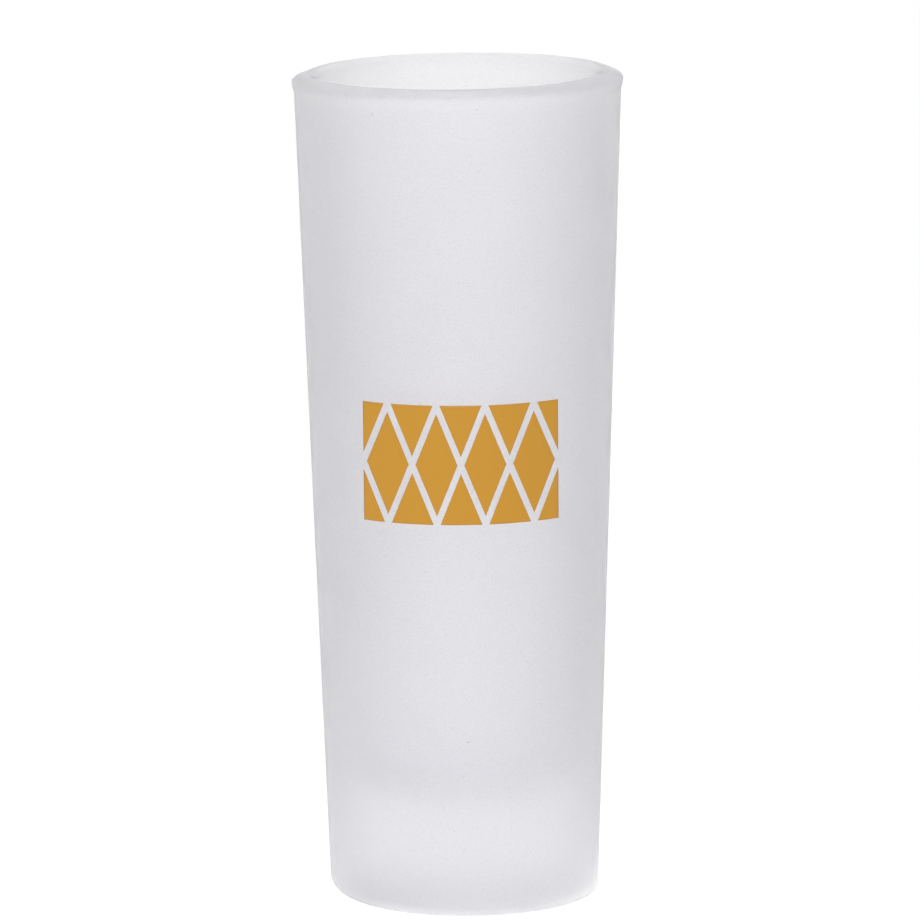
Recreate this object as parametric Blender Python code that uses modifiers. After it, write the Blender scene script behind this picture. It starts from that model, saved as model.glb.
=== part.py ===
# Tall frosted shooter glass with a one-colour ink frieze on its front.
# Metres, +Z up. The origin is the middle of the foot on the table, and the print faces -Y.

import math

import bmesh
import bpy

# The glass, outside: a straight cone with a rounded heel and a beaded rim.
HEIGHT = 0.105
BASE_RADIUS = 0.01705  # the cone carried down to the table
TOP_RADIUS = 0.02059  # the cone carried up to the rim's height
HEEL_ROUNDING = 0.00145
BEAD_PROUD = 0.00024  # how far the rim's bead stands out of the cone
BEAD_DROP = 0.00115  # from the top of the rim down to the bead's widest
BEAD_ROUNDING = 0.00045
BEAD_FADE = 0.0015  # height over which the bead fades into the cone

# The glass, inside.
WALL = 0.00275
LIP_ROUNDING = 0.00093  # of the rim's inner edge
BASE_THICKNESS = 0.0130  # at the middle of the cavity's floor
FLOOR_ROUNDING = 0.0100  # between the floor and the wall
FLOOR_DISH = 0.0002  # how far the floor's edge stands above its middle

# The underside: a flat foot ring round a shallow hollow.
FOOT_RING_WIDTH = 0.0030
PUNT_DEPTH = 0.0012

# The print: a harlequin frieze in a box, projected straight back onto the cone.
PRINT_BOTTOM = 0.0506
PRINT_HEIGHT = 0.0151
PRINT_WIDTH = 0.0242
PRINT_COLUMNS = 4  # lozenges side by side
PRINT_GAP = 0.0008  # bare glass between neighbouring islands, square to their edges
INK_THICKNESS = 0.0003
INK_CLEARANCE = 0.0003  # between the glass and the ink

# Fineness of the round shapes.
TURNING_STEPS = 96
ARC_STEPS = 6
FLOOR_STEPS = 12  # round the cavity's floor
INK_STEPS = 48
INK_SWEEP = math.radians(130)  # the band that the islands are cut from

GLASS_COLOUR = (0.78, 0.78, 0.81)
INK_COLOUR = (0.597, 0.305, 0.045)


def cone_radius(z):
    return BASE_RADIUS + (TOP_RADIUS - BASE_RADIUS) * z / HEIGHT


def arc(x, z, radius, start, end, steps=ARC_STEPS):
    """Points round (x, z) from the start angle to the end angle, in degrees from +X towards +Z."""
    angles = [math.radians(start + (end - start) * step / steps) for step in range(steps + 1)]
    return [(x + radius * math.cos(a), z + radius * math.sin(a)) for a in angles]


def cavity_profile():
    """From the middle of the floor out and up to where the lip begins."""
    corner_x = cone_radius(BASE_THICKNESS + FLOOR_ROUNDING) - WALL - FLOOR_ROUNDING
    corner_z = BASE_THICKNESS + FLOOR_DISH + FLOOR_ROUNDING
    dish = [
        (corner_x * step / ARC_STEPS, BASE_THICKNESS + FLOOR_DISH * (step / ARC_STEPS) ** 2)
        for step in range(ARC_STEPS)
    ]
    return dish + arc(corner_x, corner_z, FLOOR_ROUNDING, -90, 0, FLOOR_STEPS)


def rim_profile():
    """Over the rim: the rounded inner edge, a straight slope outwards, and the bead fading into the cone."""
    lip_z = HEIGHT - LIP_ROUNDING
    lip_x = cone_radius(lip_z) - WALL + LIP_ROUNDING
    bead_z = HEIGHT - BEAD_DROP
    bead_x = cone_radius(bead_z) + BEAD_PROUD - BEAD_ROUNDING
    apart = math.hypot(bead_x - lip_x, bead_z - lip_z)
    turned = math.acos((LIP_ROUNDING - BEAD_ROUNDING) / apart)
    facing = math.degrees(math.atan2(bead_z - lip_z, bead_x - lip_x) + turned)  # square to the slope
    fade = []
    for step in range(1, ARC_STEPS + 1):
        share = step / ARC_STEPS
        z = bead_z - BEAD_FADE * share
        fade.append((cone_radius(z) + BEAD_PROUD * (1 + math.cos(math.pi * share)) / 2, z))
    edge = arc(lip_x, lip_z, LIP_ROUNDING, 180, facing)
    return edge + arc(bead_x, bead_z, BEAD_ROUNDING, facing, 0) + fade


def foot_profile():
    """The heel, the flat foot ring and the hollow, ending on the axis."""
    heel_x = cone_radius(HEEL_ROUNDING) - HEEL_ROUNDING
    punt_radius = heel_x - FOOT_RING_WIDTH
    punt = [
        (punt_radius * (1 - step / ARC_STEPS), PUNT_DEPTH * math.sin(math.pi / 2 * step / ARC_STEPS))
        for step in range(ARC_STEPS + 1)
    ]
    return arc(heel_x, HEEL_ROUNDING, HEEL_ROUNDING, 0, -90) + punt


def new_object(name, mesh, collection):
    made = bpy.data.objects.new(name, mesh)
    collection.objects.link(made)
    return made


def profile_mesh(name, points):
    """An open line of edges in the XZ plane, for a Screw modifier."""
    mesh = bpy.data.meshes.new(name)
    edges = [(index, index + 1) for index in range(len(points) - 1)]
    mesh.from_pydata([(x, 0, z) for x, z in points], edges, [])
    return mesh


def add_screw(made, angle, steps, merge):
    screw = made.modifiers.new("Turn", "SCREW")
    screw.axis = "Z"
    screw.angle = angle
    screw.steps = steps
    screw.render_steps = steps
    screw.use_merge_vertices = merge
    screw.merge_threshold = 0.00001
    screw.use_smooth_shade = True


def plain_material(name, colour, roughness):
    made = bpy.data.materials.new(name)
    made.use_nodes = True
    shader = made.node_tree.nodes["Principled BSDF"]
    shader.inputs["Base Color"].default_value = (*colour, 1)
    shader.inputs["Roughness"].default_value = roughness
    shader.inputs["Metallic"].default_value = 0
    return made


def make_glass(collection, material):
    points = cavity_profile() + rim_profile() + foot_profile()
    glass = new_object("glass_tumbler", profile_mesh("glass_tumbler", points), collection)
    add_screw(glass, 2 * math.pi, TURNING_STEPS, merge=True)
    glass.data.materials.append(material)
    return glass


def island_outlines():
    """Each ink island's name and its outline in the print's own box, x from the middle, z from the bottom."""
    half_column = PRINT_WIDTH / PRINT_COLUMNS / 2
    half_height = PRINT_HEIGHT / 2
    slant = math.hypot(half_column, half_height)
    half_x = half_column - PRINT_GAP / 2 * slant / half_height
    half_z = half_height - PRINT_GAP / 2 * slant / half_column
    left = -PRINT_WIDTH / 2
    outlines = {}
    for column in range(PRINT_COLUMNS):
        x = left + (2 * column + 1) * half_column
        outlines[f"print_lozenge_{column + 1}"] = [
            (x - half_x, half_height),
            (x, half_height - half_z),
            (x + half_x, half_height),
            (x, half_height + half_z),
        ]
    for level, edge, tip in (("bottom", 0, half_z), ("top", PRINT_HEIGHT, PRINT_HEIGHT - half_z)):
        for column in range(1, PRINT_COLUMNS):
            x = left + 2 * column * half_column
            outlines[f"print_{level}_triangle_{column}"] = [(x - half_x, edge), (x + half_x, edge), (x, tip)]
        for side, name in ((-1, "left"), (1, "right")):
            x = side * PRINT_WIDTH / 2
            outlines[f"print_{level}_corner_{name}"] = [(x, edge), (x - side * half_x, edge), (x, tip)]
    return outlines


def make_prism(name, outline, collection):
    """An outline of the print pushed straight back through the front wall, as a cutter."""
    curve = bpy.data.curves.new(name, "CURVE")
    curve.dimensions = "2D"
    curve.fill_mode = "BOTH"
    curve.extrude = TOP_RADIUS / 2
    spline = curve.splines.new("POLY")
    spline.points.add(len(outline) - 1)
    for point, (x, z) in zip(spline.points, outline):
        point.co = (x, z, 0, 1)
    spline.use_cyclic_u = True
    drawn = new_object(name, curve, collection)
    drawn.location = (0, -TOP_RADIUS, PRINT_BOTTOM)
    drawn.rotation_euler = (math.pi / 2, 0, 0)
    bpy.context.view_layer.update()
    graph = bpy.context.evaluated_depsgraph_get()
    mesh = bpy.data.meshes.new_from_object(drawn.evaluated_get(graph))
    shape = bmesh.new()
    shape.from_mesh(mesh)
    bmesh.ops.remove_doubles(shape, verts=shape.verts, dist=0.000001)
    bmesh.ops.recalc_face_normals(shape, faces=shape.faces)
    shape.to_mesh(mesh)
    shape.free()
    matrix = drawn.matrix_world.copy()
    bpy.data.objects.remove(drawn)
    prism = new_object(f"{name}_cutter", mesh, collection)
    prism.matrix_world = matrix
    prism.hide_render = True
    prism.display_type = "WIRE"
    return prism


def make_print(collection, cutters, material):
    """Each island is a band of film round the cone, kept only inside its own outline."""
    spare = PRINT_GAP
    low = PRINT_BOTTOM - spare
    high = PRINT_BOTTOM + PRINT_HEIGHT + spare
    points = [(cone_radius(z) + INK_CLEARANCE, z) for z in (high, low)]
    band = profile_mesh("ink_band", points)
    band.materials.append(material)
    for name, outline in island_outlines().items():
        island = new_object(name, band, collection)
        island.rotation_euler.z = -math.pi / 2 - INK_SWEEP / 2
        add_screw(island, INK_SWEEP, INK_STEPS, merge=False)
        film = island.modifiers.new("Film", "SOLIDIFY")
        film.thickness = INK_THICKNESS
        film.offset = 1
        cut = island.modifiers.new("Outline", "BOOLEAN")
        cut.operation = "INTERSECT"
        cut.solver = "EXACT"
        cut.object = make_prism(name, outline, cutters)


def main():
    for old in list(bpy.data.objects):
        bpy.data.objects.remove(old)
    part = bpy.data.collections.new("shooter_glass")
    cutters = bpy.data.collections.new("shooter_glass_cutters")
    for made in (part, cutters):
        bpy.context.scene.collection.children.link(made)
    make_glass(part, plain_material("frosted_glass", GLASS_COLOUR, 0.55))
    make_print(part, cutters, plain_material("ochre_ink", INK_COLOUR, 0.45))


main()
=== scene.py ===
import bpy, bmesh, math
from mathutils import Matrix, Vector, noise


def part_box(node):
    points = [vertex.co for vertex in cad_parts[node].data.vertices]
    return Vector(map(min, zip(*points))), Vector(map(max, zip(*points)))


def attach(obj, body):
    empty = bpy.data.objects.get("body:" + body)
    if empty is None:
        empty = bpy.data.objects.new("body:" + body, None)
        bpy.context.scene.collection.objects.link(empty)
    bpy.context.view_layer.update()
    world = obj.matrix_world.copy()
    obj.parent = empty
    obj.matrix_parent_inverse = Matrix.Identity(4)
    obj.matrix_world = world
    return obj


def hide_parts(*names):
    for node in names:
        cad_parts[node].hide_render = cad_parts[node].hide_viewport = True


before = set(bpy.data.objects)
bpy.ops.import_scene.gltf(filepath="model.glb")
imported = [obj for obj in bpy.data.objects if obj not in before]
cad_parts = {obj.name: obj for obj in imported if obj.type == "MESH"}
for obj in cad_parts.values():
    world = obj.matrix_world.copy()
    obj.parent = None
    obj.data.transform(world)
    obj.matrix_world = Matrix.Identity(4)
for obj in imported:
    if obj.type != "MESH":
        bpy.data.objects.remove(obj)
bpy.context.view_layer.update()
print("frame loaded:", len(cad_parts), "nodes")

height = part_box("glass_tumbler")[1].z  # of the glass


def newMaterial(name):
    made = bpy.data.materials.new(name)
    made.use_nodes = True
    tree = made.node_tree
    tree.nodes.clear()
    out = tree.nodes.new("ShaderNodeOutputMaterial")
    shader = tree.nodes.new("ShaderNodeBsdfPrincipled")
    tree.links.new(shader.outputs["BSDF"], out.inputs["Surface"])
    return made, tree, shader


# value is another node's output, or a plain number or vector
def plug(tree, socket, value):
    if isinstance(value, bpy.types.NodeSocket):
        tree.links.new(value, socket)
    else:
        socket.default_value = value


def combine(tree, operation, first, second=0.0):
    node = tree.nodes.new("ShaderNodeMath")
    node.operation = operation
    plug(tree, node.inputs[0], first)
    plug(tree, node.inputs[1], second)
    return node.outputs["Value"]


# distances and dot products come out as numbers, the rest as vectors
def combineVectors(tree, operation, first, second):
    node = tree.nodes.new("ShaderNodeVectorMath")
    node.operation = operation
    plug(tree, node.inputs[0], first)
    plug(tree, node.inputs["Scale" if operation == "SCALE" else 1], second)
    return node.outputs["Value" if operation in ("DISTANCE", "DOT_PRODUCT") else "Vector"]


# the outputs X, Y and Z
def splitAxes(tree, place):
    node = tree.nodes.new("ShaderNodeSeparateXYZ")
    tree.links.new(place, node.inputs["Vector"])
    return node.outputs


def remap(tree, value, fromLow, fromHigh, toLow, toHigh):
    node = tree.nodes.new("ShaderNodeMapRange")
    node.inputs["From Min"].default_value = fromLow
    node.inputs["From Max"].default_value = fromHigh
    node.inputs["To Min"].default_value = toLow
    node.inputs["To Max"].default_value = toHigh
    tree.links.new(value, node.inputs["Value"])
    return node.outputs["Result"]


# size is how far apart the lumps of the noise are, in metres
def noiseOn(tree, place, size, detail):
    node = tree.nodes.new("ShaderNodeTexNoise")
    node.inputs["Scale"].default_value = 1 / size
    node.inputs["Detail"].default_value = detail
    tree.links.new(place, node.inputs["Vector"])
    return node.outputs["Fac"]


# factor is the share of the second value
def mixValue(tree, factor, first, second):
    node = tree.nodes.new("ShaderNodeMix")
    node.inputs[0].default_value = factor
    tree.links.new(first, node.inputs[2])
    tree.links.new(second, node.inputs[3])
    return node.outputs[0]


# 1 inside small balls strewn about that far apart, 0 outside them
def scattered(tree, place, spacing, radius):
    node = tree.nodes.new("ShaderNodeTexVoronoi")
    node.inputs["Scale"].default_value = 1 / spacing
    tree.links.new(place, node.inputs["Vector"])
    return remap(tree, node.outputs["Distance"], radius / spacing, radius / spacing / 2, 0, 1)


def nearPoint(tree, place, point, radius):
    return remap(tree, combineVectors(tree, "DISTANCE", place, point), radius, radius / 2, 0, 1)


# 1 on the straight line between two points, fading to 0 at that distance from it
def nearLine(tree, place, start, end, width):
    run = Vector(end) - Vector(start)
    offset = combineVectors(tree, "SUBTRACT", place, start)
    along = combineVectors(tree, "DOT_PRODUCT", offset, run / run.length_squared)
    foot = combineVectors(tree, "SCALE", run, remap(tree, along, 0, 1, 0, 1))
    return remap(tree, combineVectors(tree, "DISTANCE", offset, foot), width, width / 3, 0, 1)


def blendColour(tree, factor, first, second):
    node = tree.nodes.new("ShaderNodeMix")
    node.data_type = "RGBA"
    plug(tree, node.inputs[0], factor)
    for socket, colour in zip(node.inputs[6:8], (first, second)):
        plug(tree, socket, colour if isinstance(colour, bpy.types.NodeSocket) else (*colour, 1))
    return node.outputs[2]


def objectPlace(tree):
    return tree.nodes.new("ShaderNodeTexCoord").outputs["Object"]


def bumpFrom(tree, heightValue, distance):
    node = tree.nodes.new("ShaderNodeBump")
    node.inputs["Strength"].default_value = 1
    node.inputs["Distance"].default_value = distance
    tree.links.new(heightValue, node.inputs["Height"])
    return node.outputs["Normal"]


glass = {
    "baseRadius": 0.01705,
    "topRadius": 0.02059,
    "heelRounding": 0.00142,
    "heelSkew": 0.00078,  # how much more the heel is rounded towards -X, and less towards +X
    "beadProud": 0.00024,
    "beadDrop": 0.00105,
    "beadRounding": 0.0004,
    "beadFade": 0.0015,
    "wall": 0.00275,
    "lipRounding": 0.00093,
    "rimTilt": 0.0067,  # how much the rim rises towards +X, for each metre
    "rimTiltFrom": 0.092,  # the height where the tilt starts
    "rimWaver": 0.00006,  # how far the rim strays from round and level
    "waverSize": 0.007,
    "waverSeed": 1,
    "floorHeight": 0.013,
    "floorRounding": 0.01,
    "floorDish": 0.0002,
    "ringWidth": 0.003,  # of the foot ring, round the hollow in the underside
    "puntDepth": 0.0012,
    "dishSteps": 14,
    "floorSteps": 16,
    "innerSteps": 30,
    "lipSteps": 14,
    "slopeSteps": 4,  # between the lip and the bead
    "beadSteps": 8,
    "fadeSteps": 10,
    "outerSteps": 36,
    "heelSteps": 12,
    "puntSteps": 14,
    "turnSteps": 360,
    "tolerance": 0.000001,
}


def coneRadius(z):
    return glass["baseRadius"] + (glass["topRadius"] - glass["baseRadius"]) * z / height


# the point of the wall's front that far to the right and that high
def onFront(x, z):
    return Vector((x, -math.sqrt(coneRadius(z) ** 2 - x * x), z))


frost = {
    "tint": (0.976, 0.97, 0.998),
    "grainSize": 0.00016,  # of the etched crystals
    "grain": 0.32,  # how far the grain lightens and darkens the tint
    "mottleSize": 0.0009,
    "cloudSize": 0.009,
    "grainDetail": 1,
    "broadDetail": 3,  # of the mottle and the clouds
    "cloudShare": 0.5,  # of the clouds beside the mottle
    "broadShare": 0.2,  # of both of them beside the grain
    "roughness": (0.51, 0.54),
    "roughSpan": (0.35, 0.65),  # of the noise, over which the roughness changes
    "transmission": 0.874,  # the rest of the light scatters in the frosting
    "ior": 1.478,
    "absorption": (0.9, 0.9, 0.912),
    "density": 63,
    "bumpHeight": 0.000004,
    "bend": (0.0135, 0.0165, 0.02),  # heights in the cavity floor's bend, where a band of painted shade darkens the glass
    "bendShadeDepth": 0.25,
    "bendShadeColour": (0.3, 0.3, 0.32),
    "markColour": (0.55, 0.54, 0.57),
    "dustSpacing": 0.0065,
    "dustRadius": 0.00011,
    "specks": ((-0.0105, 0.1019, 0.00015), (0.0006, 0.0228, 0.00015)),
    "hairlines": (
        ((-0.0096, 0.1042), (-0.0092, 0.1031)),
        ((0.0056, 0.1037), (0.0065, 0.1036)),
        ((-0.0004, 0.0121), (0.0001, 0.0128)),
        ((0.0056, 0.0176), (0.0060, 0.0125), (0.0057, 0.0083)),
    ),
    "hairWidth": 0.00009,
    "hairDepth": 0.16,  # how dark a hairline is beside a speck
}


# pits all over, and the few specks and hairlines on the front
def frostMarks(tree, place):
    marks = scattered(tree, place, frost["dustSpacing"], frost["dustRadius"])
    for x, z, radius in frost["specks"]:
        marks = combine(tree, "MAXIMUM", marks, nearPoint(tree, place, onFront(x, z), radius))
    hairs = 0.0
    for line in frost["hairlines"]:
        for start, end in zip(line, line[1:]):
            hair = nearLine(tree, place, onFront(*start), onFront(*end), frost["hairWidth"])
            hairs = combine(tree, "MAXIMUM", hairs, hair)
    return combine(tree, "MAXIMUM", marks, combine(tree, "MULTIPLY", hairs, frost["hairDepth"]))


# 1 on a ring round the bend of the cavity's floor, fading to 0 above it and below, where the painted
# shade goes
def bendShadeRing(tree, place):
    level = splitAxes(tree, place)["Z"]
    flat = combineVectors(tree, "MULTIPLY", place, (1, 1, 0))
    around = combineVectors(tree, "DISTANCE", flat, (0, 0, 0))
    inside = combine(tree, "LESS_THAN", around, glass["baseRadius"] - glass["wall"] / 2)
    low, middle, high = frost["bend"]
    rising = remap(tree, level, low, middle, 0, 1)
    falling = remap(tree, level, middle, high, 1, 0)
    ring = combine(tree, "MULTIPLY", rising, falling)
    return combine(tree, "MULTIPLY", ring, inside)


def frostedGlass():
    made, tree, shader = newMaterial("frostedGlass")
    place = objectPlace(tree)
    grain = noiseOn(tree, place, frost["grainSize"], frost["grainDetail"])
    mottle = noiseOn(tree, place, frost["mottleSize"], frost["broadDetail"])
    cloud = noiseOn(tree, place, frost["cloudSize"], frost["broadDetail"])
    broad = mixValue(tree, frost["cloudShare"], mottle, cloud)
    tone = mixValue(tree, frost["broadShare"], grain, broad)
    dark = [c * (1 - frost["grain"]) for c in frost["tint"]]
    light = [c * (1 + frost["grain"]) for c in frost["tint"]]
    frosting = blendColour(tree, tone, dark, light)
    # painted shade: a dark band mixed into the colour round the cavity floor's bend
    paintedShade = combine(tree, "MULTIPLY", bendShadeRing(tree, place), frost["bendShadeDepth"])
    frosting = blendColour(tree, paintedShade, frosting, frost["bendShadeColour"])
    marked = blendColour(tree, frostMarks(tree, place), frosting, frost["markColour"])
    tree.links.new(marked, shader.inputs["Base Color"])
    rough = remap(tree, broad, *frost["roughSpan"], *frost["roughness"])
    tree.links.new(rough, shader.inputs["Roughness"])
    etched = combine(tree, "ADD", grain, broad)
    tree.links.new(bumpFrom(tree, etched, frost["bumpHeight"]), shader.inputs["Normal"])
    shader.distribution = "MULTI_GGX"
    shader.inputs["IOR"].default_value = frost["ior"]
    shader.inputs["Transmission Weight"].default_value = frost["transmission"]
    inside = tree.nodes.new("ShaderNodeVolumeAbsorption")
    inside.inputs["Color"].default_value = (*frost["absorption"], 1)
    inside.inputs["Density"].default_value = frost["density"]
    tree.links.new(inside.outputs["Volume"], tree.nodes["Material Output"].inputs["Volume"])
    return made


def arcPoints(x, z, radius, start, end, steps):
    turns = [math.radians(start + (end - start) * k / steps) for k in range(steps + 1)]
    return [(x + radius * math.cos(a), z + radius * math.sin(a)) for a in turns]


# the points between two ends, without the ends
def linePoints(start, end, steps):
    return [tuple(a + (b - a) * k / steps for a, b in zip(start, end)) for k in range(1, steps)]


def cavityProfile():
    rounding, dish, floorZ = glass["floorRounding"], glass["floorDish"], glass["floorHeight"]
    cornerX = coneRadius(floorZ + rounding) - glass["wall"] - rounding
    steps = glass["dishSteps"]
    points = [(cornerX * k / steps, floorZ + dish * (k / steps) ** 2) for k in range(steps)]
    return points + arcPoints(cornerX, floorZ + dish + rounding, rounding, -90, 0, glass["floorSteps"])


def rimProfile():
    lip, bead = glass["lipRounding"], glass["beadRounding"]
    lipZ, beadZ = height - lip, height - glass["beadDrop"]
    lipX = coneRadius(lipZ) - glass["wall"] + lip
    beadX = coneRadius(beadZ) + glass["beadProud"] - bead
    turned = math.acos((lip - bead) / math.hypot(beadX - lipX, beadZ - lipZ))
    facing = math.degrees(math.atan2(beadZ - lipZ, beadX - lipX) + turned)
    edge = arcPoints(lipX, lipZ, lip, 180, facing, glass["lipSteps"])
    bulge = arcPoints(beadX, beadZ, bead, facing, 0, glass["beadSteps"])
    points = edge + linePoints(edge[-1], bulge[0], glass["slopeSteps"]) + bulge
    steps = glass["fadeSteps"]
    for k in range(1, steps + 1):
        z = beadZ - glass["beadFade"] * k / steps
        points.append((coneRadius(z) + glass["beadProud"] * (1 + math.cos(math.pi * k / steps)) / 2, z))
    return points


def footProfile():
    heel = glass["heelRounding"]
    heelX = coneRadius(heel) - heel
    punt = heelX - glass["ringWidth"]
    points = arcPoints(heelX, heel, heel, 0, -90, glass["heelSteps"])
    steps = glass["puntSteps"]
    for k in range(steps + 1):
        points.append((punt * (1 - k / steps), glass["puntDepth"] * math.sin(math.pi / 2 * k / steps)))
    return points


def glassProfile():
    cavity, rim, foot = cavityProfile(), rimProfile(), footProfile()
    inner = linePoints(cavity[-1], rim[0], glass["innerSteps"])
    outer = linePoints(rim[-1], foot[0], glass["outerSteps"])
    return cavity + inner + rim + outer + foot


def addPiece(name, mesh, material, replaced):
    shape = bpy.data.meshes.new(name)
    mesh.to_mesh(shape)
    mesh.free()
    shape.materials.append(material)
    shape.shade_smooth()
    piece = bpy.data.objects.new(name, shape)
    bpy.context.scene.collection.objects.link(piece)
    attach(piece, "root")
    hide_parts(replaced)


# the heel is rounder on one side and the rim a little out of level, as on pressed glass
def shapeByHand(mesh):
    noise.seed_set(glass["waverSeed"])
    heel = glass["heelRounding"]
    inside = coneRadius(heel) - heel - glass["ringWidth"] / 2
    for v in mesh.verts:
        x, y, z = v.co
        radius = math.hypot(x, y)
        if z < heel + glass["tolerance"] and radius > inside:
            scale = (heel - glass["heelSkew"] * x / radius) / heel
            wide = coneRadius(heel * scale) - max(0, coneRadius(heel) - radius) * scale
            v.co = (x * wide / radius, y * wide / radius, z * scale)
        rise = min(1, max(0, (z - glass["rimTiltFrom"]) / (height - glass["rimTiltFrom"]))) ** 2
        waver = noise.noise_vector(Vector((x, y, 0)) / glass["waverSize"]) * glass["rimWaver"]
        v.co += (waver + Vector((0, 0, glass["rimTilt"] * x))) * rise


def makeGlass(material):
    mesh = bmesh.new()
    verts = [mesh.verts.new((x, 0, z)) for x, z in glassProfile()]
    edges = [mesh.edges.new(pair) for pair in zip(verts, verts[1:])]
    bmesh.ops.spin(mesh, geom=verts + edges, axis=(0, 0, 1), cent=(0, 0, 0), angle=2 * math.pi,
                   steps=glass["turnSteps"], use_merge=True)
    bmesh.ops.remove_doubles(mesh, verts=mesh.verts, dist=glass["tolerance"])
    bmesh.ops.recalc_face_normals(mesh, faces=mesh.faces)
    shapeByHand(mesh)
    addPiece("shooterGlass", mesh, material, "glass_tumbler")


makeGlass(frostedGlass())
print("glass made")


ink = {
    "colour": (0.592, 0.281, 0.013),
    "roughness": (0.42, 0.55),
    "roughSpan": (0.3, 0.7),
    "mottleSize": 0.0005,
    "mottle": 0.03,
    "mottleDetail": 3,
    "meshPitch": 0.00026,  # of the printing screen's weave, which the ink still shows
    "weaveShare": 0.3,
    "bumpHeight": 0.000006,
    "holeSpacing": 0.0011,
    "holeRadius": 0.00004,
    "holeGain": 1.4,  # how much paler the ink is in a pinhole, and the lift added to that
    "holeLift": 0.05,
    "thickness": 0.00003,
}


def ochreInk():
    made, tree, shader = newMaterial("ochreInk")
    place = objectPlace(tree)
    parts = splitAxes(tree, place)
    threads = []
    for axis in ("X", "Z"):
        turns = combine(tree, "MULTIPLY", parts[axis], 2 * math.pi / ink["meshPitch"])
        threads.append(combine(tree, "SINE", turns))
    weave = combine(tree, "MULTIPLY", *threads)
    mottle = noiseOn(tree, place, ink["mottleSize"], ink["mottleDetail"])
    thin = [c * (1 + ink["mottle"]) for c in ink["colour"]]
    thick = [c * (1 - ink["mottle"]) for c in ink["colour"]]
    film = blendColour(tree, mottle, thick, thin)
    holes = scattered(tree, place, ink["holeSpacing"], ink["holeRadius"])
    pale = [min(1, c * ink["holeGain"] + ink["holeLift"]) for c in ink["colour"]]
    tree.links.new(blendColour(tree, holes, film, pale), shader.inputs["Base Color"])
    rough = remap(tree, mottle, *ink["roughSpan"], *ink["roughness"])
    tree.links.new(rough, shader.inputs["Roughness"])
    woven = combine(tree, "MULTIPLY", weave, ink["weaveShare"])
    surface = combine(tree, "ADD", woven, mottle)
    tree.links.new(bumpFrom(tree, surface, ink["bumpHeight"]), shader.inputs["Normal"])
    return made


frieze = {
    "bottom": 0.0506,
    "height": 0.0151,
    "width": 0.0242,
    "columns": 4,
    "gap": 0.0008,
    "cell": 0.0003,  # of the grid that each island is cut from
    "spare": 1.01,  # how much larger than the island the grid starts
    "tolerance": 1e-8,  # of the cuts
    "sink": 0.000005,  # how deep the ink is keyed into the frosting
}


def islandOutlines():
    halfColumn = frieze["width"] / frieze["columns"] / 2
    halfHeight = frieze["height"] / 2
    slant = math.hypot(halfColumn, halfHeight)
    halfX = halfColumn - frieze["gap"] / 2 * slant / halfHeight
    halfZ = halfHeight - frieze["gap"] / 2 * slant / halfColumn
    left, middle = -frieze["width"] / 2, frieze["bottom"] + halfHeight
    for column in range(frieze["columns"]):
        x = left + (2 * column + 1) * halfColumn
        tall = [(x, middle - halfZ), (x + halfX, middle), (x, middle + halfZ)]
        yield f"lozenge_{column + 1}", [(x - halfX, middle)] + tall
    for level, sign in (("bottom", -1), ("top", 1)):
        edge = middle + sign * halfHeight
        tip = edge - sign * halfZ
        for column in range(1, frieze["columns"]):
            x = left + 2 * column * halfColumn
            yield f"{level}_triangle_{column}", [(x - halfX, edge), (x + halfX, edge), (x, tip)]
        for side, word in ((-1, "left"), (1, "right")):
            x = -side * left
            yield f"{level}_corner_{word}", [(x, edge), (x - side * halfX, edge), (x, tip)]


def makeIsland(name, outline, material):
    xs, zs = zip(*outline)
    wide, tall = max(xs) - min(xs), max(zs) - min(zs)
    centre = Vector(((min(xs) + max(xs)) / 2, 0, (min(zs) + max(zs)) / 2))
    middle = Vector((sum(xs) / len(xs), 0, sum(zs) / len(zs)))
    mesh = bmesh.new()
    across, up = math.ceil(wide / frieze["cell"]), math.ceil(tall / frieze["cell"])
    bmesh.ops.create_grid(mesh, x_segments=across, y_segments=up, size=0.5)
    for v in mesh.verts:
        v.co = centre + Vector((v.co.x * wide, 0, v.co.y * tall)) * frieze["spare"]
    for (x0, z0), (x1, z1) in zip(outline, outline[1:] + outline[:1]):
        out = Vector((z1 - z0, 0, x0 - x1)).normalized()
        corner = Vector((x0, 0, z0))
        if out.dot(corner - middle) < 0:
            out = -out
        everything = mesh.verts[:] + mesh.edges[:] + mesh.faces[:]
        bmesh.ops.bisect_plane(mesh, geom=everything, dist=frieze["tolerance"],
                               plane_co=corner, plane_no=out, clear_outer=True)
    for v in mesh.verts:
        radius = coneRadius(v.co.z) - frieze["sink"]
        v.co.y = -math.sqrt(radius ** 2 - v.co.x ** 2)
    bmesh.ops.recalc_face_normals(mesh, faces=mesh.faces)
    top = bmesh.ops.extrude_face_region(mesh, geom=mesh.faces[:])["geom"]
    thick = ink["thickness"] + frieze["sink"]
    for v in top:
        if isinstance(v, bmesh.types.BMVert):
            out = Vector((v.co.x, v.co.y, 0)).normalized()
            v.co += out * thick
    bmesh.ops.recalc_face_normals(mesh, faces=mesh.faces)
    addPiece("ink_" + name, mesh, material, "print_" + name)


inkMaterial = ochreInk()
for islandName, islandOutline in islandOutlines():
    makeIsland(islandName, islandOutline, inkMaterial)
print("print made")


studio = {
    "floorSize": 14.0,
    "floorRise": 0.00002,  # so that light passes straight between the foot and the floor
    "floorColour": 0.135,
    "floorRoughness": 0.9,
    "floorGlow": 0.88,
    "spotGlow": 1.0,  # the floor round the foot, lit up for the heavy base
    "spotRadius": 0.03,
    "spotFade": 0.12,  # the radius where the spot has faded out
    "skyLow": 0.699,
    "skyHigh": 0.983,
    "skyFade": 0.35,  # how high up the sky reaches its full light
    "sideDark": 0.6,
    "backGain": 0.319,  # how much brighter it is behind the glass than in front
    "lampPower": 7.42,
    "lampSize": 1.2,
    "lampPlace": (-0.2, -1.1, 1.1),
}


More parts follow.
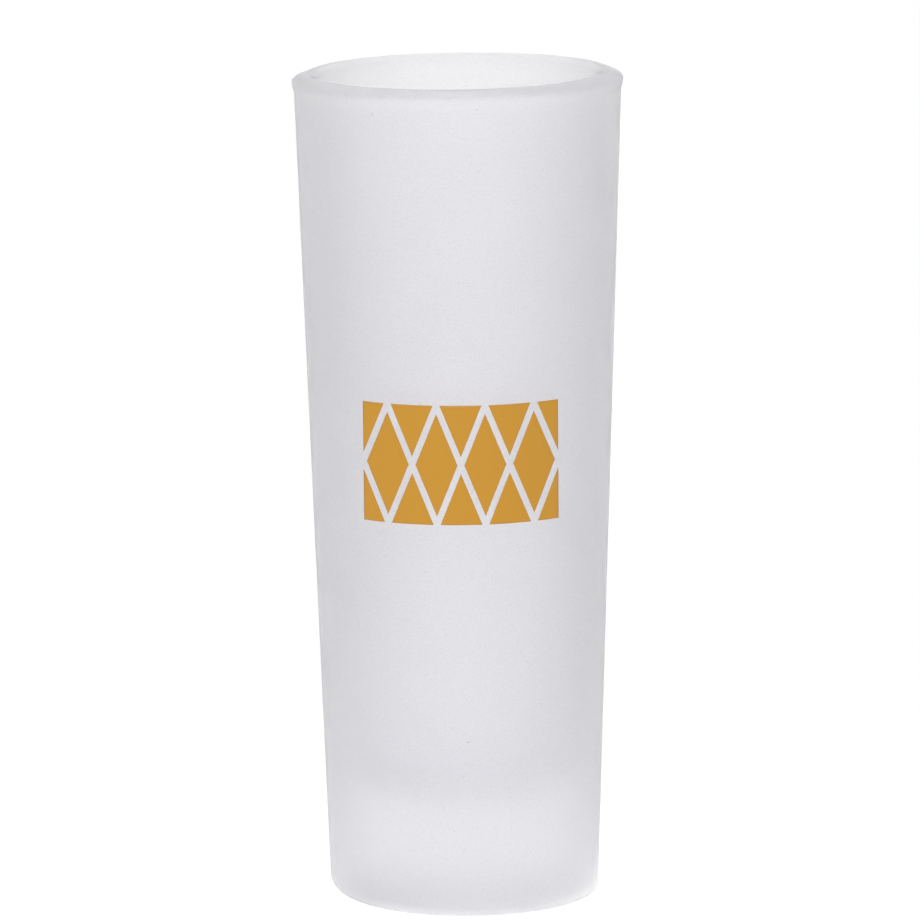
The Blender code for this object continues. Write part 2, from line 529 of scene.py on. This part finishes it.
def makeFloor():
    mesh = bmesh.new()
    bmesh.ops.create_grid(mesh, x_segments=1, y_segments=1, size=studio["floorSize"] / 2)
    bmesh.ops.translate(mesh, verts=mesh.verts, vec=(0, 0, studio["floorRise"]))
    shape = bpy.data.meshes.new("floor")
    mesh.to_mesh(shape)
    mesh.free()
    made, tree, shader = newMaterial("paperFloor")
    shader.inputs["Base Color"].default_value = (*[studio["floorColour"]] * 3, 1)
    shader.inputs["Roughness"].default_value = studio["floorRoughness"]
    shader.inputs["Specular IOR Level"].default_value = 0
    shader.inputs["Emission Color"].default_value = (1, 1, 1, 1)
    away = combineVectors(tree, "DISTANCE", objectPlace(tree), (0, 0, 0))
    glow = [studio[key] for key in ("spotRadius", "spotFade", "spotGlow", "floorGlow")]
    tree.links.new(remap(tree, away, *glow), shader.inputs["Emission Strength"])
    shape.materials.append(made)
    floor = bpy.data.objects.new("floor", shape)
    bpy.context.scene.collection.objects.link(floor)


# darker at the sides than in front and behind, and plain white where the camera sees it
def makeSky():
    world = bpy.data.worlds.new("studio")
    world.use_nodes = True
    tree = world.node_tree
    background = tree.nodes["Background"]
    background.inputs["Color"].default_value = (1, 1, 1, 1)
    facing = tree.nodes.new("ShaderNodeTexCoord").outputs["Generated"]
    parts = splitAxes(tree, facing)
    climb = remap(tree, parts["Z"], 0.0, studio["skyFade"], studio["skyLow"], studio["skyHigh"])
    aside = combine(tree, "POWER", parts["X"], 2)
    shade = combine(tree, "SUBTRACT", 1, combine(tree, "MULTIPLY", aside, studio["sideDark"]))
    lean = combine(tree, "ADD", shade, combine(tree, "MULTIPLY", parts["Y"], studio["backGain"]))
    lit = combine(tree, "MULTIPLY", climb, lean)
    seen = tree.nodes.new("ShaderNodeLightPath").outputs["Is Camera Ray"]
    tree.links.new(combine(tree, "MAXIMUM", lit, seen), background.inputs["Strength"])
    world.cycles.sampling_method = "NONE"
    bpy.context.scene.world = world
    bpy.context.scene.view_settings.view_transform = "Standard"


def makeLamp():
    data = bpy.data.lights.new("softbox", "AREA")
    data.shape = "DISK"
    data.size = studio["lampSize"]
    data.energy = studio["lampPower"]
    lamp = bpy.data.objects.new("softbox", data)
    place = Vector(studio["lampPlace"])
    lamp.location = place
    lamp.rotation_euler = place.to_track_quat("Z", "Y").to_euler()
    bpy.context.scene.collection.objects.link(lamp)


lens = {
    "sensor": 36,
    "elevation": 10.265,
    "distance": 0.900,
    "length": 278.27,
    "roll": -0.521,
    "aimX": -0.00011,
    "aimZ": 0.05542,
}


def makeCamera():
    data = bpy.data.cameras.new("camera")
    data.sensor_width = lens["sensor"]
    data.lens = lens["length"]
    camera = bpy.data.objects.new("camera", data)
    bpy.context.scene.collection.objects.link(camera)
    rise = math.radians(lens["elevation"])
    back = Vector((0, -math.cos(rise), math.sin(rise)))
    camera.location = Vector((lens["aimX"], 0, lens["aimZ"])) + back * lens["distance"]
    turn = (-back).to_track_quat("-Z", "Y").to_matrix().to_4x4()
    turn = turn @ Matrix.Rotation(math.radians(lens["roll"]), 4, "Z")
    camera.rotation_euler = turn.to_euler()
    bpy.context.scene.camera = camera


makeFloor()
makeSky()
makeLamp()
makeCamera()
print("studio made")
